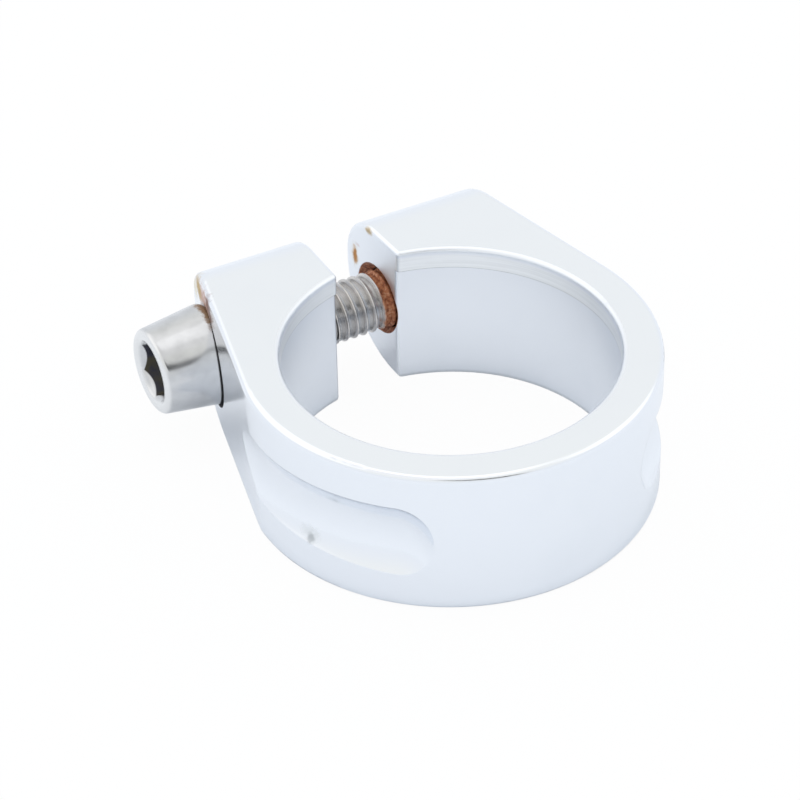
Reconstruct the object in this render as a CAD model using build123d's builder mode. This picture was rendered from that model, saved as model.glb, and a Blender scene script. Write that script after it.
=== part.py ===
from build123d import *
import math
import os

# Seatpost clamp: a split ring with two ears, closed by one socket-head bolt.
# The ring's axis is Z, the ears point along +Y and the bolt lies along X with its head at -X.
# The origin is on the bore's axis in the bottom face. All sizes are in millimetres.

# Ring
seat_tube_diameter = 31.8
clamp_clearance = 0.05
wall = 3.5
outer_offset = 0.13
ring_height = 14.8
lip_step = 0.36
lip_height = 2.15

# Ears, and the slot between them
ear_behind_bolt = 6.1
ear_face_tilt = 12.6
ear_face_draft = 1.7
ear_top_round = 5.0
ear_back_flat = 0.8
slot_left = 3.85
slot_right = 2.65
slot_pinch = 3.4

# Scooped pockets on the two flanks
scoop_radius = 5.5
scoop_depth = 1.5
scoop_run_out = 0.5
scoop_front_angle = 42.0
scoop_tail = 9.0

# Bolt and the holes that it needs
bolt_diameter = 5.9
bolt_off_bore = 0.2
bolt_below_middle = 0.05
tip_inset = 0.36
tip_chamfer = 0.7
thread_clearance = 0.05
shank_clearance = 0.25
head_diameter = 10.0
head_front_diameter = 8.25
head_length = 6.75
head_edge_round = 0.6
head_clearance = 0.22
seat_depth = 0.46
hex_across_flats = 5.0
hex_depth = 3.2
hex_countersink = 0.35
hex_turn = 30.0
hole_countersink = 0.65
countersink_slope = 45.0

# Edge rounds
rim_round = 0.6
inner_round = 0.45

bore_radius = seat_tube_diameter / 2 + clamp_clearance
lip_radius = bore_radius - lip_step
outer_radius = bore_radius + wall
middle = ring_height / 2
bolt_radius = bolt_diameter / 2
tapped_radius = bolt_radius + thread_clearance
head_radius = head_diameter / 2
hex_corner_radius = hex_across_flats / math.sqrt(3)
socket_mouth_radius = hex_corner_radius + hex_countersink
bolt_from_axis = bore_radius + bolt_radius + bolt_off_bore
bolt_height = middle - bolt_below_middle
ear_back = bolt_from_axis + ear_behind_bolt
ear_bottom_round = ring_height - ear_top_round - ear_back_flat
bolt_plane = Plane(origin=(0, bolt_from_axis, bolt_height), x_dir=(0, 1, 0), z_dir=(1, 0, 0))

# Where a flank face leaves the ring, where it passes the bolt and where it reaches the ear's back
tilt = math.radians(ear_face_tilt)
draft = math.tan(math.radians(ear_face_draft))
draft_top = ring_height - 2 * rim_round
tangent_x = outer_radius * math.cos(tilt)
tangent_y = outer_offset + outer_radius * math.sin(tilt)
bolt_x = tangent_x - (bolt_from_axis - tangent_y) * math.tan(tilt) - (draft_top - bolt_height) * draft
back_x = tangent_x - (ear_back - tangent_y) * math.tan(tilt)
head_seat = bolt_x - seat_depth
bolt_tip = bolt_x - tip_inset

# The slot's face at +X closes in a little towards the back
pinch = math.tan(math.radians(slot_pinch))
slot_end = 2 * ear_back
tapped_face = slot_right - (bolt_from_axis - bore_radius) * pinch

# The scoop's cutter follows the flank round and then runs straight out along the ear
scoop_centre = outer_offset + scoop_run_out / math.cos(math.radians(scoop_front_angle))
scoop_path_radius = outer_radius - scoop_depth + scoop_run_out + scoop_radius

with BuildPart() as scoop_cutter:
    with BuildLine(Plane.XY.offset(middle)) as scoop_path:
        flank = CenterArc((0, scoop_centre), scoop_path_radius, 180, 90 - scoop_front_angle)
        Line(flank @ 0, (-scoop_path_radius, scoop_centre + scoop_tail))
    with BuildSketch(Plane(origin=flank @ 1, z_dir=flank % 1)):
        Circle(scoop_radius)
    sweep(path=scoop_path.wires()[0])
    with Locations(flank @ 1):
        Sphere(scoop_radius)

with BuildPart() as clamp_body:
    # Ring and ears in plan, as one outline
    with BuildSketch():
        with Locations((0, outer_offset)):
            Circle(outer_radius)
        with BuildLine():
            Polyline(
                (-tangent_x, tangent_y),
                (-back_x, ear_back),
                (back_x, ear_back),
                (tangent_x, tangent_y),
                close=True,
            )
        make_face()
    extrude(amount=ring_height)

    # The ears' side profile: a small round above and a large one below
    with BuildSketch(Plane.YZ):
        with BuildLine():
            Line((ear_back - ear_top_round, ring_height), (ear_back, ring_height))
            Line((ear_back, ring_height), (ear_back, ring_height - ear_top_round))
            RadiusArc(
                (ear_back, ring_height - ear_top_round),
                (ear_back - ear_top_round, ring_height),
                -ear_top_round,
            )
        make_face()
        with BuildLine():
            Line((ear_back - ear_bottom_round, 0), (ear_back, 0))
            Line((ear_back, 0), (ear_back, ear_bottom_round))
            RadiusArc(
                (ear_back, ear_bottom_round),
                (ear_back - ear_bottom_round, 0),
                ear_bottom_round,
            )
        make_face()
    extrude(amount=2 * outer_radius, both=True, mode=Mode.SUBTRACT)

    # Rounded rim, above and below, over the ring and both ears
    rims = clamp_body.faces().filter_by(Axis.Z).edges().filter_by(GeomType.CIRCLE)
    fillet(rims, radius=rim_round)

    # Drafted flank faces, leaning in towards the bottom
    for side in (-1, 1):
        flank_top = (side * tangent_x, tangent_y, draft_top)
        flank_normal = (side * math.cos(tilt), math.sin(tilt), -draft)
        split(bisect_by=Plane(origin=flank_top, z_dir=flank_normal), keep=Keep.BOTTOM)

    # Scooped pockets
    add(scoop_cutter.part, mode=Mode.SUBTRACT)
    add(mirror(scoop_cutter.part, about=Plane.YZ, mode=Mode.PRIVATE), mode=Mode.SUBTRACT)

    # Bore for the seat tube, with the lip that rests on the tube's end
    with BuildSketch():
        Circle(bore_radius)
    extrude(amount=ring_height - lip_height, mode=Mode.SUBTRACT)
    with BuildSketch():
        Circle(lip_radius)
    extrude(amount=ring_height, mode=Mode.SUBTRACT)

    # Slot between the ears
    with BuildSketch():
        with BuildLine():
            Polyline(
                (-slot_left, 0),
                (slot_right + bore_radius * pinch, 0),
                (slot_right - (slot_end - bore_radius) * pinch, slot_end),
                (-slot_left, slot_end),
                close=True,
            )
        make_face()
    extrude(amount=ring_height, mode=Mode.SUBTRACT)

    # Rounded edges round the slot and the lip
    cut_faces = clamp_body.faces().filter_by(GeomType.PLANE)
    cut_faces = cut_faces.filter_by_position(Axis.X, -slot_left - lip_step, slot_right + lip_step)
    cut_faces = cut_faces.filter_by(lambda face: abs(face.normal_at().X) > abs(face.normal_at().Y))
    slot_edges = cut_faces.edges().filter_by(lambda edge: edge.length > 2 * lip_step)
    top_ring = clamp_body.faces().filter_by(Axis.Z).sort_by(Axis.Z)[-1].edges()
    lip_edge = top_ring.filter_by(GeomType.CIRCLE).sort_by(SortBy.RADIUS)[0]
    fillet(slot_edges + [lip_edge], radius=inner_round)

    # Head seat and plain hole in the ear at -X
    with BuildSketch(bolt_plane.offset(-head_seat)):
        Circle(head_radius + head_clearance)
    extrude(amount=-outer_radius, mode=Mode.SUBTRACT)
    with BuildSketch(bolt_plane):
        Circle(bolt_radius + shank_clearance)
    extrude(amount=-outer_radius, mode=Mode.SUBTRACT)

    # Tapped hole, countersunk towards the slot, in the ear at +X
    with BuildSketch(bolt_plane):
        Circle(tapped_radius)
    extrude(amount=outer_radius, mode=Mode.SUBTRACT)
    with BuildSketch(bolt_plane.offset(tapped_face - hole_countersink)):
        Circle(tapped_radius + 2 * hole_countersink)
    extrude(amount=2 * hole_countersink, taper=countersink_slope, mode=Mode.SUBTRACT)

with BuildPart() as clamp_bolt:
    # Shank and tapered head, turned about the bolt's axis
    with BuildSketch(Plane(origin=bolt_plane.origin, x_dir=(1, 0, 0), z_dir=(0, 0, 1))):
        with BuildLine():
            Polyline(
                (-head_seat - head_length, 0),
                (-head_seat - head_length, head_front_diameter / 2),
                (-head_seat, head_radius),
                (-head_seat, bolt_radius),
                (bolt_tip - tip_chamfer, bolt_radius),
                (bolt_tip, bolt_radius - tip_chamfer),
                (bolt_tip, 0),
                close=True,
            )
        make_face()
    revolve(axis=Axis(bolt_plane.origin, (1, 0, 0)))
    front_edge = clamp_bolt.faces().sort_by(Axis.X)[0].edges()
    fillet(front_edge, radius=head_edge_round)

    # Hexagon socket with a countersunk mouth
    front_plane = bolt_plane.offset(-head_seat - head_length)
    with BuildSketch(front_plane):
        RegularPolygon(hex_across_flats / 2, 6, major_radius=False, rotation=hex_turn)
    extrude(amount=hex_depth, mode=Mode.SUBTRACT)
    with BuildSketch(front_plane):
        Circle(socket_mouth_radius)
    extrude(
        amount=socket_mouth_radius - hex_across_flats / 2,
        taper=countersink_slope,
        mode=Mode.SUBTRACT,
    )

clamp_body.part.label = "clamp_body"
clamp_bolt.part.label = "clamp_bolt"
os.makedirs("parts", exist_ok=True)
export_step(clamp_body.part, "parts/clamp_body.step")
export_step(clamp_bolt.part, "parts/clamp_bolt.step")
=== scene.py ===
"""The looks of a seatpost clamp.

A polished split ring and its socket-head bolt, in a white studio.
"""

from __future__ import annotations

import logging
import math
from dataclasses import dataclass
from enum import Enum
from typing import Sequence, Union

import bmesh
import bpy
from mathutils import Matrix, Vector


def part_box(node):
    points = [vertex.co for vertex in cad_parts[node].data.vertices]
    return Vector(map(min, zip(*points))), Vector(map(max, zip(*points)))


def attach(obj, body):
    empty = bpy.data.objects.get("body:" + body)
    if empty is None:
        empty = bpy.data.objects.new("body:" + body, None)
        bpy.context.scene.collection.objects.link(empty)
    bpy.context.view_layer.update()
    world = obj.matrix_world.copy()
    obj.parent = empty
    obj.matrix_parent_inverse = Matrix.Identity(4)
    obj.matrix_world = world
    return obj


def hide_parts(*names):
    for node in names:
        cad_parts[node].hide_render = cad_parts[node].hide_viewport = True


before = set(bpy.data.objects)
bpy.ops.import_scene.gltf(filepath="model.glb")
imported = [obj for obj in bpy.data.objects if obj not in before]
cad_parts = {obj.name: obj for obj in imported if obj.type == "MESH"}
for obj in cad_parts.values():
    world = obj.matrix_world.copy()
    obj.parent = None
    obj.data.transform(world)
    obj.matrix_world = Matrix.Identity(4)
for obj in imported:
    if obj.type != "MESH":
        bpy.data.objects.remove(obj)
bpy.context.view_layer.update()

log = logging.getLogger("seatpost_clamp")

MM = 0.001
Colour = tuple[float, float, float]
Point = tuple[float, float, float]
Span = tuple[float, float]


class Ray(Enum):
    """The kinds of ray that the studio answers in their own way."""

    CAMERA = "Is Camera Ray"
    GLOSSY = "Is Glossy Ray"
    TRANSMISSION = "Is Transmission Ray"


class Value:
    """A number that flows through a node tree, with arithmetic that adds Math nodes."""

    def __init__(self, tree: Tree, socket: bpy.types.NodeSocket) -> None:
        """Wraps one output socket of a tree."""
        self.tree = tree
        self.socket = socket

    def __add__(self, other: Number) -> Value:
        """self + other"""
        return self.tree.math("ADD", self, other)

    def __radd__(self, other: float) -> Value:
        """other + self"""
        return self.tree.math("ADD", other, self)

    def __sub__(self, other: Number) -> Value:
        """self - other"""
        return self.tree.math("SUBTRACT", self, other)

    def __rsub__(self, other: float) -> Value:
        """other - self"""
        return self.tree.math("SUBTRACT", other, self)

    def __mul__(self, other: Number) -> Value:
        """self * other"""
        return self.tree.math("MULTIPLY", self, other)

    def __rmul__(self, other: float) -> Value:
        """other * self"""
        return self.tree.math("MULTIPLY", other, self)

    def __truediv__(self, other: Number) -> Value:
        """self / other"""
        return self.tree.math("DIVIDE", self, other)

    def __pow__(self, other: Number) -> Value:
        """self ** other"""
        return self.tree.math("POWER", self, other)

    def at_most(self, other: Number) -> Value:
        """The smaller of self and other."""
        return self.tree.math("MINIMUM", self, other)

    def at_least(self, other: Number) -> Value:
        """The larger of self and other."""
        return self.tree.math("MAXIMUM", self, other)

    def root(self) -> Value:
        """The square root."""
        return self.tree.math("SQRT", self)

    def rise(self, low: float, high: float) -> Value:
        """A smooth step.

        Args:
            low: where the step is still 0.
            high: where it has reached 1.

        Returns:
            The step, from 0 to 1.
        """
        node = self.tree.node(
            "ShaderNodeMapRange",
            {"interpolation_type": "SMOOTHSTEP"},
            {"Value": self, "From Min": low, "From Max": high},
        )
        return self.tree.value(node, "Result")

    def fall(self, low: float, high: float) -> Value:
        """A smooth step down, from 1 at low to 0 at high."""
        return 1.0 - self.rise(low, high)


Number = Union[Value, float]
Input = Union[Value, bpy.types.NodeSocket, float, Sequence[float]]


class Tree:
    """A node tree in the making."""

    def __init__(self, tree: bpy.types.NodeTree) -> None:
        """Empties the tree and starts afresh."""
        self.tree = tree
        self.tree.nodes.clear()

    def node(
        self,
        kind: str,
        settings: dict[str, object] | None = None,
        inputs: dict[str | int, Input] | None = None,
    ) -> bpy.types.Node:
        """Adds a node.

        Args:
            kind: the node's type.
            settings: the node's own settings, which are set first.
            inputs: values or links for its input sockets, by name or number.

        Returns:
            The new node.
        """
        made = self.tree.nodes.new(kind)
        for name, setting in (settings or {}).items():
            if name == "stops":
                self._set_stops(made, setting)
            else:
                setattr(made, name, setting)
        for name, given in (inputs or {}).items():
            self.feed(made.inputs[name], given)
        return made

    def _set_stops(self, ramp: bpy.types.Node, stops: Sequence[tuple[float, Colour]]) -> None:
        """Gives a colour ramp its stops.

        Args:
            ramp: the colour ramp's node.
            stops: pairs of place and colour.
        """
        elements = ramp.color_ramp.elements
        while len(elements) < len(stops):
            elements.new(1.0)
        for element, (place, colour) in zip(elements, stops):
            element.position = place
            element.color = (*colour, 1.0)

    def feed(self, socket: bpy.types.NodeSocket, given: Input) -> None:
        """Links or sets one input socket.

        Args:
            socket: the input socket.
            given: a value, another node's output, a number, or a vector or colour.
        """
        if isinstance(given, Value):
            self.tree.links.new(given.socket, socket)
        elif isinstance(given, bpy.types.NodeSocket):
            self.tree.links.new(given, socket)
        elif socket.type == "RGBA" and len(given) == 3:
            socket.default_value = (*given, 1.0)
        else:
            socket.default_value = given

    def value(self, node: bpy.types.Node, output: str | int = 0) -> Value:
        """One output of a node, ready for arithmetic."""
        return Value(self, node.outputs[output])

    def math(self, operation: str, *terms: Number) -> Value:
        """Adds a Math node with the given terms."""
        node = self.node("ShaderNodeMath", {"operation": operation}, dict(enumerate(terms)))
        return self.value(node)

    def vector_math(self, operation: str, *terms: Input) -> Value:
        """Adds a Vector Math node with a number for its result, such as DISTANCE."""
        node = self.node("ShaderNodeVectorMath", {"operation": operation}, dict(enumerate(terms)))
        return self.value(node, "Value")

    def mix(self, share: Number, first: Input, second: Input) -> bpy.types.NodeSocket:
        """Mixes two colours.

        Args:
            share: 0 for the first colour, 1 for the second.
            first: a colour.
            second: a colour.

        Returns:
            The mixed colour's socket.
        """
        node = self.node("ShaderNodeMix", {"data_type": "RGBA"}, {0: share, 6: first, 7: second})
        return node.outputs[2]

    def ray(self, *kinds: Ray) -> Value:
        """Tells rays apart.

        Args:
            *kinds: the kinds of ray that are looked for.

        Returns:
            1 for any of these kinds, and 0 for the others.
        """
        path = self.node("ShaderNodeLightPath")
        found = self.value(path, kinds[0].value)
        for kind in kinds[1:]:
            found = found.at_least(self.value(path, kind.value))
        return found


class Surface(Tree):
    """A material in the making, with the place on the object in millimetres."""

    def __init__(self, name: str) -> None:
        """Starts a material.

        Args:
            name: the material's name.
        """
        self.material = bpy.data.materials.new(name)
        self.material.use_nodes = True
        super().__init__(self.material.node_tree)
        metres = self.node("ShaderNodeTexCoord").outputs["Object"]
        scaled = self.node(
            "ShaderNodeVectorMath", {"operation": "SCALE"}, {0: metres, "Scale": 1 / MM}
        )
        self.place = scaled.outputs[0]
        apart = self.node("ShaderNodeSeparateXYZ", inputs={0: self.place})
        self.x, self.y, self.z = (self.value(apart, axis) for axis in "XYZ")

    def noise(self, grain: float, detail: float = 2.0, stretch: Point = (1.0, 1.0, 1.0)) -> Value:
        """A soft random pattern from 0 to 1.

        Args:
            grain: the size of its spots in millimetres.
            detail: how many finer layers it has.
            stretch: how much longer the spots are along each axis.

        Returns:
            The pattern.
        """
        scale = tuple(1 / (grain * longer) for longer in stretch)
        moved = self.node("ShaderNodeMapping", inputs={"Vector": self.place, "Scale": scale})
        node = self.node(
            "ShaderNodeTexNoise",
            inputs={"Vector": moved.outputs[0], "Scale": 1.0, "Detail": detail},
        )
        return self.value(node, 0)

    def around(self, y: float, z: float) -> Value:
        """The distance in millimetres from a line along X.

        Args:
            y: where the line is.
            z: where the line is.

        Returns:
            The distance.
        """
        return ((self.y - y) ** 2.0 + (self.z - z) ** 2.0).root()

    def bump(
        self, height: Value, depth: float, normal: Input | None = None
    ) -> bpy.types.NodeSocket:
        """A bumped normal.

        Args:
            height: the pattern, from 0 to 1.
            depth: the pattern's height in millimetres.
            normal: the normal to start from.

        Returns:
            The normal's socket.
        """
        given: dict[str | int, Input] = {"Height": height, "Distance": depth * MM}
        if normal is not None:
            given["Normal"] = normal
        return self.node("ShaderNodeBump", inputs=given).outputs[0]

    def finish(self, **sockets: Input) -> bpy.types.Material:
        """Closes the material with a Principled shader.

        Args:
            **sockets: its sockets, with underscores for the spaces in their names.

        Returns:
            The material.
        """
        given = {name.replace("_", " "): socket for name, socket in sockets.items()}
        shader = self.node("ShaderNodeBsdfPrincipled", inputs=given)
        self.node("ShaderNodeOutputMaterial", inputs={"Surface": shader.outputs[0]})
        return self.material


@dataclass(frozen=True)
class RustMark:
    """A stain with a soft, ragged outline."""

    centre: Point
    half_size: Point
    colour: Colour
    strength: float
    fray: float = 0.9
    edge: Span = (0.25, 1.1)

    def mask(self, surface: Surface, ragged: Value) -> Value:
        """Where the stain is.

        Args:
            surface: the material that it is on.
            ragged: the pattern that frays its outline.

        Returns:
            The stain's strength, from 0 to 1.
        """
        apart = zip((surface.x, surface.y, surface.z), self.centre, self.half_size)
        squares = [((axis - middle) / half) ** 2.0 for axis, middle, half in apart]
        distance = (squares[0] + squares[1] + squares[2]).root()
        return (distance + (ragged - 0.5) * self.fray).fall(*self.edge) * self.strength


@dataclass(frozen=True)
class RustCrust:
    """Flaky brown rust."""

    grain: float = 0.34
    detail: float = 4.0
    height: float = 0.025
    stops: Sequence[tuple[float, Colour]] = (
        (0.34, (0.17, 0.06, 0.03)),
        (0.46, (0.37, 0.13, 0.058)),
        (0.56, (0.5, 0.2, 0.095)),
        (0.7, (0.62, 0.38, 0.24)),
    )

    def flakes(self, surface: Surface) -> Value:
        """The pattern of its flakes."""
        return surface.noise(self.grain, self.detail)

    def colour(self, surface: Surface) -> bpy.types.NodeSocket:
        """Its colour, from dark pits to pale flakes."""
        ramp = {"stops": self.stops}
        return surface.node("ShaderNodeValToRGB", ramp, {0: self.flakes(surface)}).outputs[0]

    def relief(self, surface: Surface, mask: Value, normal: Input) -> bpy.types.NodeSocket:
        """The normal of the flakes where the mask is 1."""
        return surface.bump(self.flakes(surface) * mask, self.height, normal)


@dataclass(frozen=True)
class SlotFace:
    """The slot between the ears, in millimetres: its face at -X and its slanted face at +X."""

    left: float = -3.85
    right: float = 2.65
    bore_radius: float = 15.95
    slant: float = math.tan(math.radians(3.4))
    edge: Span = (0.02, 0.12)
    ears_from: Span = (10.0, 11.0)

    def right_at(self, y: Number) -> Number:
        """Where the slanted face is, along X, at each y."""
        return self.right - (y - self.bore_radius) * self.slant

    def mask(self, surface: Surface) -> Value:
        """Where the slot is.

        Args:
            surface: the material that it is on.

        Returns:
            1 on the slot's two faces, and 0 elsewhere.
        """
        near, far = self.edge
        inside = (surface.x - self.right_at(surface.y)).fall(near, far)
        inside = inside * surface.x.rise(self.left - far, self.left - near)
        return inside * surface.y.rise(*self.ears_from)


@dataclass(frozen=True)
class TappedMouth:
    """The countersunk mouth of the tapped hole, in millimetres."""

    bolt_y: float
    bolt_z: float
    radius: float = 3.65
    start: Span = (0.0, 0.06)
    edge: Span = (0.03, 0.1)
    crust: RustCrust = RustCrust()
    dust: Colour = (0.55, 0.4, 0.37)
    dust_share: float = 0.7
    dust_height: Span = (2.3, 3.8)

    def mask(self, surface: Surface, slot: SlotFace) -> Value:
        """Where the rust is.

        Args:
            surface: the material that it is on.
            slot: the slot that the hole opens into.

        Returns:
            1 on the cone and in the hole behind it, and 0 elsewhere.
        """
        behind = (surface.x - slot.right_at(surface.y)).rise(*self.start)
        out = surface.around(self.bolt_y, self.bolt_z)
        deep = surface.x - slot.right_at(self.bolt_y)
        cone = (out + deep - self.radius).fall(*self.edge)
        return behind * cone * surface.y.rise(*slot.ears_from)

    def colour(self, surface: Surface) -> bpy.types.NodeSocket:
        """The rust's colour: brown crusts, with paler dust at the top."""
        top = (surface.z - self.bolt_z).rise(*self.dust_height) * self.dust_share
        return surface.mix(top, self.crust.colour(surface), self.dust)


@dataclass(frozen=True)
class HeadSeat:
    """The round seat in the ear at -X that the bolt's head stands in, in millimetres."""

    bolt_y: float
    bolt_z: float
    radius: float = 5.22
    edge: Span = (0.02, 0.07)
    inner_end: Span = (-14.6, -14.5)
    front_half: Span = (-1.6, 0.4)
    grime_and_shade: Colour = (0.03, 0.03, 0.034)

    def mask(self, surface: Surface) -> Value:
        """Where the gap round the head is painted dark, as painted shadow with some grime.

        Args:
            surface: the material that it is on.

        Returns:
            1 on the seat's floor and wall, and 0 elsewhere.
        """
        gap = (surface.around(self.bolt_y, self.bolt_z) - self.radius).fall(*self.edge)
        gap = gap * surface.x.fall(*self.inner_end)
        return gap * (surface.y - self.bolt_y).fall(*self.front_half)


@dataclass(frozen=True)
class PolishedAluminium:
    """Bright polished aluminium, with satin cuts, a faint haze, a few rust marks, and painted
    shade at the lip's step, along the foot and in the gap round the bolt's head.
    """

    name: str = "polished_aluminium"
    # Polished faces
    tone: Colour = (0.862, 0.889, 0.932)
    roughness: float = 0.15
    edge_round: float = 0.12
    ripple_grain: float = 0.5
    ripple: float = 0.0006
    # Haze
    haze_tone: Colour = (0.846, 0.875, 0.92)
    haze_grain: float = 6.0
    haze_spots: Span = (0.45, 0.8)
    haze_roughness: float = 0.05
    # Satin cuts
    slot_roughness: float = 0.38
    bore_roughness: float = 0.34
    bore_reach: Span = (15.97, 16.05)
    # Stains, rust, and the gap round the head with its painted shadow and grime
    stain_grain: float = 0.4
    stain_roughness: float = 0.3
    rust_and_gap_roughness: float = 0.4
    rust_and_gap_dullness: float = 0.9
    most_roughness: float = 0.8
    # The lip with its turned lines
    lip_bottom: Span = (12.65, 12.71)
    lip_top: Span = (14.0, 14.3)
    lip_tone: Colour = (0.935, 0.948, 0.952)
    lip_share: float = 0.8
    line_grain: float = 0.16
    line_stretch: Point = (60.0, 60.0, 1.0)
    line_spots: Span = (0.45, 0.65)
    line_tone: Colour = (0.66, 0.68, 0.69)
    line_share: float = 0.2
    # Painted shade: dark lines at the step below the lip and along the foot
    step_bottom: Span = (12.49, 12.61)
    step_top: Span = (12.68, 12.75)
    painted_shade_tone: Colour = (0.45, 0.47, 0.48)
    step_share: float = 0.5
    foot: Span = (0.1, 0.42)
    foot_from: Span = (-13.0, -3.0)
    foot_share: float = 0.4

    def turned_bore(self, surface: Surface, in_bore: Value, colour: Input) -> bpy.types.NodeSocket:
        """Colours the lip, with its turned lines and the painted shade at its step.

        Args:
            surface: the material that it is on.
            in_bore: 1 in the bore, and 0 elsewhere.
            colour: the colour so far.

        Returns:
            The new colour.
        """
        lines = surface.noise(self.line_grain, 2.0, self.line_stretch).rise(*self.line_spots)
        on_lip = surface.z.rise(*self.lip_bottom) * surface.z.fall(*self.lip_top) * in_bore
        colour = surface.mix(on_lip * self.lip_share, colour, self.lip_tone)
        colour = surface.mix(on_lip * lines * self.line_share, colour, self.line_tone)
        # Painted shade in the undercut at the step below the lip.
        step_shade = surface.z.rise(*self.step_bottom) * surface.z.fall(*self.step_top) * in_bore
        return surface.mix(step_shade * self.step_share, colour, self.painted_shade_tone)

    def material(
        self, marks: Sequence[RustMark], mouth: TappedMouth, seat: HeadSeat
    ) -> bpy.types.Material:
        """Makes the material.

        Args:
            marks: the stains on the two ears and the dark spot in the pocket.
            mouth: the rusty mouth of the tapped hole.
            seat: the seat of the bolt's head, whose gap holds painted shadow and some grime.

        Returns:
            The material.
        """
        surface = Surface(self.name)
        haze = surface.noise(self.haze_grain, 3.0)
        colour: Input = surface.mix(haze.rise(*self.haze_spots), self.tone, self.haze_tone)
        slot = SlotFace()
        in_bore = (surface.x ** 2.0 + surface.y ** 2.0).root().fall(*self.bore_reach)
        satin = slot.mask(surface) * (self.slot_roughness - self.roughness)
        satin = satin.at_least(in_bore * (self.bore_roughness - self.roughness))
        rough: Number = self.roughness + haze * self.haze_roughness + satin
        colour = self.turned_bore(surface, in_bore, colour)
        # Painted shade: a dark line along the foot, where the bottom edge shows the floor's
        # shadow.
        foot_shade = surface.z.fall(*self.foot) * surface.x.rise(*self.foot_from)
        colour = surface.mix(foot_shade * self.foot_share, colour, self.painted_shade_tone)
        ragged = surface.noise(self.stain_grain, 3.0)
        for mark in marks:
            mask = mark.mask(surface, ragged)
            colour = surface.mix(mask, colour, mark.colour)
            rough = rough + mask * self.stain_roughness

        rusty = mouth.mask(surface, slot)
        colour = surface.mix(rusty, colour, mouth.colour(surface))
        # Painted shadow, with some grime, darkens the gap round the bolt's head.
        shaded_gap = seat.mask(surface)
        colour = surface.mix(shaded_gap, colour, seat.grime_and_shade)
        rust_and_gap_shade = rusty.at_least(shaded_gap)
        rough = rough + rust_and_gap_shade * self.rust_and_gap_roughness
        edges = surface.node(
            "ShaderNodeBevel", {"samples": 6}, {"Radius": self.edge_round * MM}
        ).outputs[0]
        normal = surface.bump(surface.noise(self.ripple_grain), self.ripple, edges)
        return surface.finish(
            Base_Color=colour,
            Metallic=1.0 - rust_and_gap_shade * self.rust_and_gap_dullness,
            Roughness=rough.at_most(self.most_roughness),
            Normal=mouth.crust.relief(surface, rusty, normal),
        )


@dataclass(frozen=True)
class HexSocket:
    """The head's hexagon socket, in millimetres."""

    front: float
    mouth_radius: float = 3.237
    corner_radius: float = 2.89
    depth: float = 3.2
    mouth_depth: float = 1.0
    mouth_edge: Span = (0.02, 0.16)
    wall_edge: Span = (0.04, 0.1)
    bottom_edge: Span = (0.2, 0.4)

    def inside(self, surface: Surface, out: Value) -> Value:
        """Where the inside is painted in shadow.

        Args:
            surface: the material that it is on.
            out: the distance from the bolt's axis.

        Returns:
            1 inside the socket below its countersunk mouth, and 0 elsewhere.
        """
        deep = surface.x - self.front
        below = (deep + out - self.mouth_radius).at_least(deep - self.mouth_depth)
        within = (out - self.corner_radius).fall(*self.wall_edge)
        return below.rise(*self.mouth_edge) * within * (deep - self.depth).fall(*self.bottom_edge)


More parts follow.
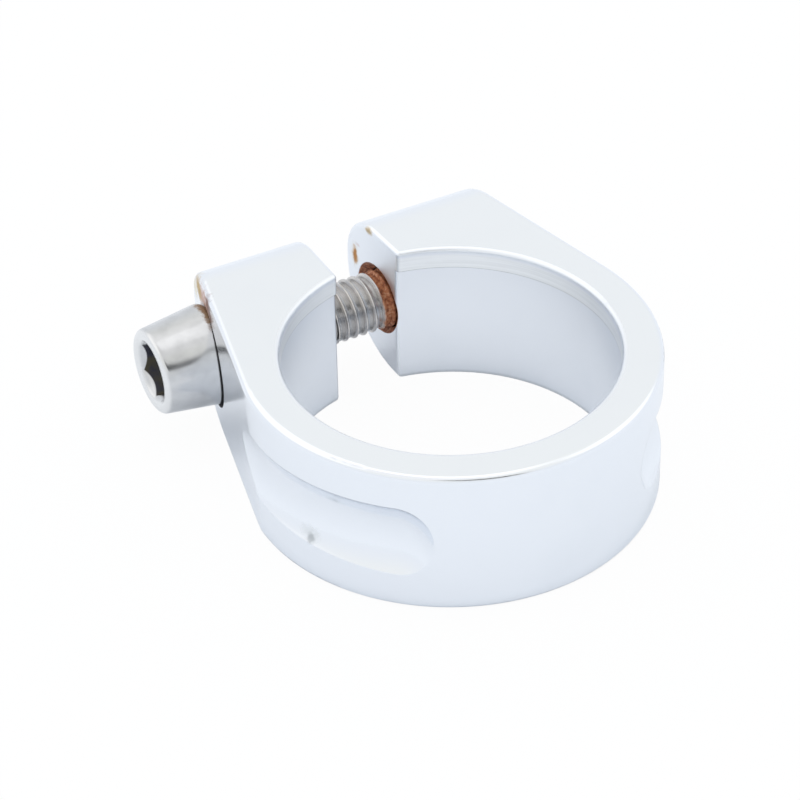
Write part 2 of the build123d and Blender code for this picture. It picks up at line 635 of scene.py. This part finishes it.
@dataclass(frozen=True)
class TurnedSteel:
    """Bare steel with fine turning marks round the bolt's axis."""

    name: str
    tone: Colour
    dark_tone: Colour
    roughness: float
    # Turning marks and wear
    mark_width: float = 0.12
    mark_stretch: Point = (1.0, 40.0, 40.0)
    mark_depth: float = 0.0012
    worn_grain: float = 1.6
    worn_spots: Span = (0.35, 0.8)
    worn_roughness: float = 0.1
    # Grime and painted shade in the thread's roots
    grime_and_shade: Colour = (0.13, 0.123, 0.118)
    grime_and_shade_share: float = 0.8
    # Crust by the tapped hole's mouth
    crust: RustCrust = RustCrust()
    crust_from: Span = (1.55, 1.8)
    crust_to: Span = (5.0, 6.0)
    crust_fray: float = 0.6
    crust_roughness: float = 0.45
    crust_dullness: float = 0.9
    # Rust round the head's base
    rust: Colour = (0.27, 0.165, 0.095)
    rust_grain: float = 0.4
    rust_fray: float = 0.9
    rust_from: Span = (-0.3, 0.2)
    rust_above: Span = (-0.5, 0.4)
    rust_roughness: float = 0.3
    rust_dullness: float = 0.7
    # The head's front, painted lighter as a painted highlight, and its socket, painted in shadow
    face_highlight_tone: Colour = (0.8, 0.8, 0.8)
    face_edge: Span = (0.1, 0.45)
    shadow: Colour = (0.02, 0.021, 0.036)
    shadow_warm: Colour = (0.05, 0.043, 0.024)
    shadow_spots: Span = (0.4, 0.65)
    socket_roughness: float = 0.25
    socket_dullness: float = 0.6

    def material(
        self,
        bolt_y: float,
        bolt_z: float,
        socket: HexSocket | None = None,
        rusty_rim: Span | None = None,
        shaded_grimy_roots: Span | None = None,
    ) -> bpy.types.Material:
        """Makes the material.

        Args:
            bolt_y: the bolt's axis.
            bolt_z: the bolt's axis.
            socket: the socket whose inside is painted in shadow.
            rusty_rim: where rust starts along X at the head's underside, and above what height.
            shaded_grimy_roots: the radii between which the grime and painted shade in the thread's
                roots fade.

        Returns:
            The material.
        """
        surface = Surface(self.name)
        turned = surface.noise(self.mark_width, 3.0, self.mark_stretch)
        worn = surface.noise(self.worn_grain, 3.0)
        colour: Input = surface.mix(worn.rise(*self.worn_spots), self.tone, self.dark_tone)
        # Grime and painted shade darken the thread's roots.
        if shaded_grimy_roots is not None:
            deep = surface.around(bolt_y, bolt_z).fall(*shaded_grimy_roots)
            colour = surface.mix(deep * self.grime_and_shade_share, colour, self.grime_and_shade)
        crusted = (surface.x + (worn - 0.5) * self.crust_fray).rise(*self.crust_from)
        crusted = crusted * surface.x.fall(*self.crust_to)
        colour = surface.mix(crusted, colour, self.crust.colour(surface))
        rough = self.roughness + worn * self.worn_roughness + crusted * self.crust_roughness
        metal: Number = 1.0 - crusted * self.crust_dullness
        if rusty_rim is not None:
            seat, height = rusty_rim
            ragged = (surface.noise(self.rust_grain, 3.0) - 0.5) * self.rust_fray
            rust = (surface.x - seat + ragged).rise(*self.rust_from)
            rust = rust * (surface.z - height + ragged).rise(*self.rust_above)
            colour = surface.mix(rust, colour, self.rust)
            rough = rough + rust * self.rust_roughness
            metal = metal * (1.0 - rust * self.rust_dullness)
        if socket is not None:
            # Painted highlight: the front face is drawn lighter, standing in for the bright light
            # it reflects.
            face_highlight = (surface.x - socket.front).fall(*self.face_edge)
            colour = surface.mix(face_highlight, colour, self.face_highlight_tone)
            # Painted shadow inside the socket, tinted navy and olive in spots.
            inside = socket.inside(surface, surface.around(bolt_y, bolt_z))
            shadow_tint = surface.mix(worn.rise(*self.shadow_spots), self.shadow, self.shadow_warm)
            colour = surface.mix(inside, colour, shadow_tint)
            rough = rough + inside * self.socket_roughness
            metal = metal * (1.0 - inside * self.socket_dullness)
        return surface.finish(
            Base_Color=colour,
            Metallic=metal,
            Roughness=rough,
            Normal=self.crust.relief(surface, crusted, surface.bump(turned, self.mark_depth)),
        )


@dataclass(frozen=True)
class ClampBody:
    """The split ring with its ears: the CAD solid in polished aluminium, in millimetres."""

    bolt_y: float
    bolt_z: float
    finish: PolishedAluminium = PolishedAluminium()
    node: str = "clamp_body"

    def rust_marks(self) -> list[RustMark]:
        """Places the stains on the two ears, and a dark spot in the pocket.

        Returns:
            The marks, from the lowest layer to the topmost.
        """
        pale = (0.75, 0.78, 0.81)
        dull = (0.56, 0.585, 0.61)
        straw = (0.8, 0.73, 0.57)
        tan = (0.58, 0.43, 0.21)
        pink = (0.6, 0.405, 0.335)
        brown = (0.22, 0.105, 0.08)
        orange = (0.62, 0.3, 0.08)
        return [
            RustMark((-14.6, 24.0, 11.8), (1.0, 1.2, 1.8), straw, 0.75),
            RustMark((-15.4, 19.9, 12.6), (1.4, 4.3, 2.05), pink, 1.0),
            RustMark((-15.0, 22.1, 12.95), (1.0, 1.5, 1.75), tan, 0.95),
            RustMark((-15.7, 18.8, 13.95), (0.8, 2.4, 0.52), pink, 0.75),
            RustMark((-15.9, 18.1, 13.65), (1.0, 1.2, 1.25), brown, 0.8),
            RustMark((-16.1, 17.2, 12.8), (0.9, 0.7, 0.9), brown, 0.9),
            RustMark((2.37, 20.7, 14.35), (0.8, 0.85, 0.42), tan, 0.8),
            RustMark((2.2, 23.4, 10.05), (0.7, 0.75, 1.6), straw, 0.6),
            RustMark((2.2, 23.4, 10.0), (0.6, 0.55, 1.3), orange, 0.9),
            RustMark((2.24, 22.85, 11.55), (0.6, 0.55, 0.25), pink, 0.3),
            RustMark((-17.8, -6.3, 4.6), (0.9, 1.7, 0.8), pale, 0.8),
            RustMark((-17.95, -6.6, 4.3), (0.55, 0.6, 0.75), dull, 0.9),
        ]

    def dress(self) -> bpy.types.Object:
        """Gives the CAD node its finish.

        Returns:
            The CAD node's object.
        """
        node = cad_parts[self.node]
        mouth = TappedMouth(self.bolt_y, self.bolt_z)
        seat = HeadSeat(self.bolt_y, self.bolt_z)
        material = self.finish.material(self.rust_marks(), mouth, seat)
        node.data.materials.clear()
        node.data.materials.append(material)
        return node


@dataclass(frozen=True)
class ThreadForm:
    """The sizes of the bolt's thread, in millimetres."""

    pitch: float = 1.0
    crest_radius: float = 2.9
    root_radius: float = 2.42
    crest_width: float = 0.13
    base_width: float = 0.72
    start: float = -11.0
    end: float = 14.3
    steps_per_turn: int = 56

    def tree(self, material: bpy.types.Material) -> bpy.types.NodeTree:
        """Builds the node tree that winds a ridge of this form along Z.

        Args:
            material: the ridge's material.

        Returns:
            The geometry node tree, with its sizes as named inputs.
        """
        made = bpy.data.node_groups.new("helical_thread", "GeometryNodeTree")
        face = made.interface
        face.new_socket("Geometry", in_out="OUTPUT", socket_type="NodeSocketGeometry")
        for name in ("Turns", "Length", "Root Radius", "Depth", "Crest Width", "Base Width"):
            face.new_socket(name, in_out="INPUT", socket_type="NodeSocketFloat")
        face.new_socket("Steps Per Turn", in_out="INPUT", socket_type="NodeSocketInt")
        tree = Tree(made)
        sizes = tree.node("NodeGroupInput").outputs
        helix = tree.node(
            "GeometryNodeCurveSpiral",
            inputs={
                "Resolution": sizes["Steps Per Turn"],
                "Rotations": sizes["Turns"],
                "Start Radius": sizes["Root Radius"],
                "End Radius": sizes["Root Radius"],
                "Height": sizes["Length"],
                "Reverse": True,
            },
        )
        upright = tree.node(
            "GeometryNodeSetCurveNormal", {"mode": "Z_UP"}, {"Curve": helix.outputs[0]}
        )
        along = tree.value(tree.node("GeometryNodeSplineParameter"), "Factor")
        turns = tree.value(tree.node("NodeGroupInput"), "Turns")
        run_out = (along * turns).at_most((1.0 - along) * turns).at_most(1.0)
        tapered = tree.node(
            "GeometryNodeSetCurveRadius",
            inputs={"Curve": upright.outputs[0], "Radius": run_out},
        )
        # The profile's inner half lies inside the core, so it is twice as deep as the thread.
        profile = tree.node(
            "GeometryNodeCurvePrimitiveQuadrilateral",
            {"mode": "TRAPEZOID"},
            {
                "Height": tree.value(tree.node("NodeGroupInput"), "Depth") * 2.0,
                "Bottom Width": sizes["Base Width"],
                "Top Width": sizes["Crest Width"],
                "Offset": 0.0,
            },
        )
        turned = tree.node(
            "GeometryNodeTransform",
            inputs={"Geometry": profile.outputs[0], "Rotation": (0.0, 0.0, -math.pi / 2)},
        )
        ridge = tree.node(
            "GeometryNodeCurveToMesh",
            inputs={
                "Curve": tapered.outputs[0],
                "Profile Curve": turned.outputs[0],
                "Fill Caps": True,
            },
        )
        whole = tree.node("GeometryNodeRealizeInstances", inputs={0: ridge.outputs[0]})
        painted = tree.node(
            "GeometryNodeSetMaterial", inputs={"Geometry": whole.outputs[0], "Material": material}
        )
        tree.node("NodeGroupOutput", inputs={0: painted.outputs[0]})
        return made

    def inputs(self) -> dict[str, float]:
        """Fits the sizes to the tree's inputs.

        Returns:
            The value of each named input, with lengths in metres.
        """
        length = self.end - self.start
        return {
            "Turns": length / self.pitch,
            "Length": length * MM,
            "Root Radius": self.root_radius * MM,
            "Depth": (self.crest_radius - self.root_radius) * MM,
            "Crest Width": self.crest_width * MM,
            "Base Width": self.base_width * 2 * MM,
            "Steps Per Turn": self.steps_per_turn,
        }


@dataclass(frozen=True)
class ClampBolt:
    """The socket-head bolt, in millimetres: the CAD solid's head and core, with a wound thread."""

    bolt_y: float
    bolt_z: float
    front: float
    head_length: float = 6.75
    base_round: float = 0.8
    base_steps: int = 5
    flat_from: float = 0.9
    cone_below: float = -0.05
    rust_width: float = 1.0
    rust_height: float = 4.4
    shaded_grimy_roots: Span = (2.5, 2.8)
    sharp_from: float = 28.0
    thread_sharp_from: float = 35.0
    weld: float = 0.001
    slack: float = 0.01
    thread: ThreadForm = ThreadForm()
    head_finish: TurnedSteel = TurnedSteel(
        "bolt_steel", (0.635, 0.64, 0.65), (0.56, 0.565, 0.575), 0.14
    )
    thread_finish: TurnedSteel = TurnedSteel(
        "thread_steel", (0.66, 0.635, 0.615), (0.53, 0.51, 0.495), 0.2
    )
    node: str = "clamp_bolt"
    body: str = "bolt"
    slot: str = "bolt_steel"

    @property
    def head_seat(self) -> float:
        """Where the head's underside is, along X."""
        return self.front + self.head_length

    def build_core(self) -> bpy.types.Object:
        """Copies the CAD bolt and turns its shank down to the thread's root.

        Returns:
            The head and core, as one mesh.
        """
        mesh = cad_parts[self.node].data.copy()
        work = bmesh.new()
        work.from_mesh(mesh)
        bmesh.ops.remove_doubles(work, verts=work.verts, dist=self.weld * MM)
        axis = Vector((0.0, self.bolt_y * MM, self.bolt_z * MM))
        for vertex in work.verts:
            out = vertex.co - axis
            out.x = 0.0
            on_shank = vertex.co.x > (self.head_seat + self.slack) * MM
            if on_shank and out.length > self.thread.root_radius * MM:
                shrink = out * (1 - self.thread.root_radius * MM / out.length)
                vertex.co -= shrink
        self._round_base(work)
        work.to_mesh(mesh)
        work.free()
        mesh.shade_smooth()
        mesh.set_sharp_from_angle(angle=math.radians(self.sharp_from))
        rusty_rim = (self.head_seat - self.rust_width, self.bolt_z + self.rust_height)
        finish = self.head_finish.material(
            self.bolt_y, self.bolt_z, HexSocket(self.front), rusty_rim
        )
        mesh.materials.clear()
        mesh.materials.append(finish)
        core = bpy.data.objects.new("bolt_head_and_core", mesh)
        bpy.context.scene.collection.objects.link(core)
        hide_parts(self.node)
        return core

    def _round_base(self, work: bmesh.types.BMesh) -> None:
        """Rounds the edge where the head's cone meets its underside.

        Args:
            work: the bolt's mesh, which is changed.
        """
        low, high = ((self.head_seat + way * self.slack) * MM for way in (-1, 1))
        at_seat = [e for e in work.edges if all(low < v.co.x < high for v in e.verts)]
        rim = [e for e in at_seat if len({f.normal.x > self.flat_from for f in e.link_faces}) == 2]
        rim = [e for e in rim if min(f.normal.x for f in e.link_faces) < self.cone_below]
        bmesh.ops.bevel(
            work,
            geom=rim,
            offset=self.base_round * MM,
            segments=self.base_steps,
            profile=0.5,
            affect="EDGES",
        )

    def build_thread(self) -> bpy.types.Object:
        """Winds the thread round the core.

        Returns:
            The thread, as a plain mesh.
        """
        finish = self.thread_finish.material(
            self.bolt_y, self.bolt_z, shaded_grimy_roots=self.shaded_grimy_roots
        )
        group = self.thread.tree(finish)
        maker = bpy.data.objects.new("thread_maker", bpy.data.meshes.new("thread_maker"))
        bpy.context.scene.collection.objects.link(maker)
        modifier = maker.modifiers.new("thread", "NODES")
        modifier.node_group = group
        given = self.thread.inputs()
        for item in group.interface.items_tree:
            if item.in_out == "INPUT":
                modifier[item.identifier] = given[item.name]
        graph = bpy.context.evaluated_depsgraph_get()
        mesh = bpy.data.meshes.new_from_object(maker.evaluated_get(graph), depsgraph=graph)
        bpy.data.objects.remove(maker)
        lie = Matrix.Rotation(math.pi / 2, 4, "Y")
        move = Matrix.Translation(Vector((self.thread.start, self.bolt_y, self.bolt_z)) * MM)
        mesh.transform(move @ lie)
        mesh.shade_smooth()
        mesh.set_sharp_from_angle(angle=math.radians(self.thread_sharp_from))
        thread = bpy.data.objects.new("bolt_thread", mesh)
        bpy.context.scene.collection.objects.link(thread)
        return thread

    def build(self) -> list[bpy.types.Object]:
        """Builds the bolt's pieces and hangs them on the bolt's body.

        Returns:
            The pieces.
        """
        pieces = [self.build_core(), self.build_thread()]
        for piece in pieces:
            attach(piece, self.body)
        return pieces


@dataclass(frozen=True)
class PhotoCamera:
    """The camera at the photograph's viewing angle, in degrees, millimetres and metres."""

    azimuth: float = -27.284
    elevation: float = 37.332
    roll: float = -1.206
    distance: float = 299.354
    shift_right: float = -4.85
    shift_up: float = 6.911
    lens: float = 144.0
    sensor: float = 36.0
    nearest: float = 0.005
    farthest: float = 20.0

    def place(self) -> bpy.types.Object:
        """Adds the camera and makes it the scene's own.

        Returns:
            The camera.
        """
        turn, rise, roll = (math.radians(a) for a in (self.azimuth, self.elevation, self.roll))
        back = Vector(
            (math.sin(turn) * math.cos(rise), -math.cos(turn) * math.cos(rise), math.sin(rise))
        )
        level = Vector((math.cos(turn), math.sin(turn), 0.0))
        steep = back.cross(level)
        right = math.cos(roll) * level + math.sin(roll) * steep
        up = -math.sin(roll) * level + math.cos(roll) * steep
        where = back * self.distance + right * self.shift_right + up * self.shift_up
        lens = bpy.data.cameras.new("photo_camera")
        lens.lens = self.lens
        lens.sensor_width = self.sensor
        lens.clip_start = self.nearest
        lens.clip_end = self.farthest
        camera = bpy.data.objects.new("photo_camera", lens)
        axes = Matrix((right, up, back)).transposed().to_4x4()
        camera.matrix_world = Matrix.Translation(where * MM) @ axes
        bpy.context.scene.collection.objects.link(camera)
        bpy.context.scene.camera = camera
        return camera


@dataclass(frozen=True)
class Panel:
    """A round, soft-edged light in the room; its edge is given by the angle's cosine."""

    aim: Point
    edge: Span
    tone: Colour

    def mask(self, tree: Tree, way: bpy.types.NodeSocket) -> Value:
        """1 on the panel, and 0 beside it, by the direction that is looked in."""
        return tree.vector_math("DOT_PRODUCT", way, self.aim).rise(*self.edge)


@dataclass(frozen=True)
class Screen:
    """A dark, soft-edged oval in front of the object."""

    middle: Point = (-0.133, -0.77, 0.625)
    along: Point = (0.791, -0.463, -0.402)
    half_size: Span = (0.36, 0.13)
    edge: Span = (0.7, 1.2)
    front: Span = (0.0, 0.2)
    tone: Colour = (0.05, 0.052, 0.056)

    def mask(self, tree: Tree, way: bpy.types.NodeSocket) -> Value:
        """Where the screen is.

        Args:
            tree: the world's node tree.
            way: the direction that is looked in.

        Returns:
            1 on the screen, and 0 beside it.
        """
        middle, along = Vector(self.middle), Vector(self.along)
        long, short = (
            (tree.vector_math("DOT_PRODUCT", way, axis) / half) ** 2.0
            for axis, half in zip((along, middle.cross(along)), self.half_size)
        )
        facing = tree.vector_math("DOT_PRODUCT", way, middle).rise(*self.front)
        return (long + short).root().fall(*self.edge) * facing


@dataclass(frozen=True)
class Studio:
    """A white room with a pale floor and a soft light overhead, in metres."""

    floor_half_width: float = 1.5
    floor_tone: Colour = (0.93, 0.96, 1.0)
    floor_lift: float = 0.95
    glossy_tone: Colour = (0.93, 0.96, 1.0)
    glossy_lift: float = 0.42
    shade_place: Point = (-0.018, 0.0145, 0.0)
    shade_reach: Span = (0.001, 0.0075)
    contact_inside: Span = (0.0135, 0.0165)
    contact_outside: Span = (0.0197, 0.021)
    ring_lift: float = 0.55
    ring_reach: float = 0.016
    white: Colour = (1.0, 1.0, 1.0)
    horizon: Colour = (0.92, 0.95, 0.99)
    zenith: Colour = (0.98, 0.985, 0.955)
    zenith_height: float = 0.9
    crown: Colour = (1.16, 1.16, 1.16)
    crown_height: Span = (0.84, 0.98)
    panels: tuple[Panel, ...] = (
        Panel((-0.45, 0.45, 0.77), (0.74, 0.89), (1.2, 1.2, 1.2)),
        Panel((-0.3, -0.2, 0.93), (0.9, 0.95), (1.0, 1.0, 1.0)),
        Panel((0.78, -0.25, 0.57), (0.86, 0.93), (1.2, 1.2, 1.2)),
    )
    screen: Screen = Screen()
    lamp_power: float = 0.12
    lamp_size: float = 0.5
    lamp_place: Point = (0.08, 0.12, 0.9)

    def lift(self, tree: Tree) -> Value:
        """How much of the floor's light is its own, by place and kind of ray.

        Mirror-like faces see a floor that is darker under the bolt's head and where the ring
        stands, and brighter inside the ring.

        Args:
            tree: the floor's node tree.

        Returns:
            The share, from 0 to 1.
        """
        place = tree.node("ShaderNodeTexCoord").outputs["Object"]
        from_axis = tree.vector_math("LENGTH", place)
        beside = from_axis.fall(*self.contact_inside) + from_axis.rise(*self.contact_outside)
        lit = tree.vector_math("DISTANCE", place, self.shade_place).rise(*self.shade_reach)
        lit = lit * beside * self.glossy_lift
        lit = lit + from_axis.fall(0.0, self.ring_reach) * self.ring_lift
        mirrored = tree.ray(Ray.GLOSSY, Ray.TRANSMISSION) * lit
        return tree.ray(Ray.CAMERA) * self.floor_lift + mirrored

    def floor(self) -> bpy.types.Object:
        """Lays the floor.

        Returns:
            The floor.
        """
        half = self.floor_half_width
        corners = [(-half, -half, 0.0), (half, -half, 0.0), (half, half, 0.0), (-half, half, 0.0)]
        mesh = bpy.data.meshes.new("studio_floor")
        mesh.from_pydata(corners, [], [(0, 1, 2, 3)])
        material = bpy.data.materials.new("studio_floor")
        material.use_nodes = True
        tree = Tree(material.node_tree)
        matt = tree.node("ShaderNodeBsdfDiffuse", inputs={"Color": self.floor_tone})
        seen = tree.mix(tree.ray(Ray.CAMERA), self.glossy_tone, self.white)
        glow = tree.node("ShaderNodeEmission", inputs={"Color": seen, "Strength": 1.0})
        shares = {0: self.lift(tree), 1: matt.outputs[0], 2: glow.outputs[0]}
        mixed = tree.node("ShaderNodeMixShader", inputs=shares)
        tree.node("ShaderNodeOutputMaterial", inputs={"Surface": mixed.outputs[0]})
        mesh.materials.append(material)
        floor = bpy.data.objects.new("studio_floor", mesh)
        bpy.context.scene.collection.objects.link(floor)
        return floor

    def world(self) -> bpy.types.World:
        """Lights the room from all sides, with the panels and the screen.

        Returns:
            The world.
        """
        world = bpy.data.worlds.new("white_room")
        world.use_nodes = True
        tree = Tree(world.node_tree)
        way = tree.node("ShaderNodeTexCoord").outputs["Generated"]
        height = tree.value(tree.node("ShaderNodeSeparateXYZ", inputs={0: way}), "Z")
        room = tree.mix(height.rise(0.0, self.zenith_height), self.horizon, self.zenith)
        room = tree.mix(height.rise(*self.crown_height), room, self.crown)
        for sight in (*self.panels, self.screen):
            room = tree.mix(sight.mask(tree, way), room, sight.tone)
        seen = tree.mix(tree.ray(Ray.CAMERA), room, self.white)
        light = tree.node("ShaderNodeBackground", inputs={"Color": seen, "Strength": 1.0})
        tree.node("ShaderNodeOutputWorld", inputs={"Surface": light.outputs[0]})
        bpy.context.scene.world = world
        return world

    def lamp(self) -> bpy.types.Object:
        """Hangs the soft light overhead, aimed at the object.

        Returns:
            The lamp.
        """
        light = bpy.data.lights.new("overhead_softbox", "AREA")
        light.shape = "DISK"
        light.size = self.lamp_size
        light.energy = self.lamp_power
        lamp = bpy.data.objects.new("overhead_softbox", light)
        lamp.location = self.lamp_place
        lamp.rotation_euler = (-Vector(self.lamp_place)).to_track_quat("-Z", "Y").to_euler()
        bpy.context.scene.collection.objects.link(lamp)
        return lamp


def main() -> None:
    """Builds the object and its studio, piece by piece."""
    logging.basicConfig(level=logging.INFO, format="%(message)s")
    low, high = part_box("clamp_bolt")
    middle = (low + high) / 2 / MM
    body = ClampBody(middle.y, middle.z)
    log.info("dressed %s", body.dress().name)
    bolt = ClampBolt(middle.y, middle.z, low.x / MM)
    for piece in bolt.build():
        log.info("built %s, %d faces", piece.name, len(piece.data.polygons))
    studio = Studio()
    log.info("laid %s", studio.floor().name)
    log.info("lit %s and %s", studio.world().name, studio.lamp().name)
    log.info("placed %s", PhotoCamera().place().name)
    bpy.context.scene.view_settings.view_transform = "Standard"


if __name__ == "__main__":
    main()
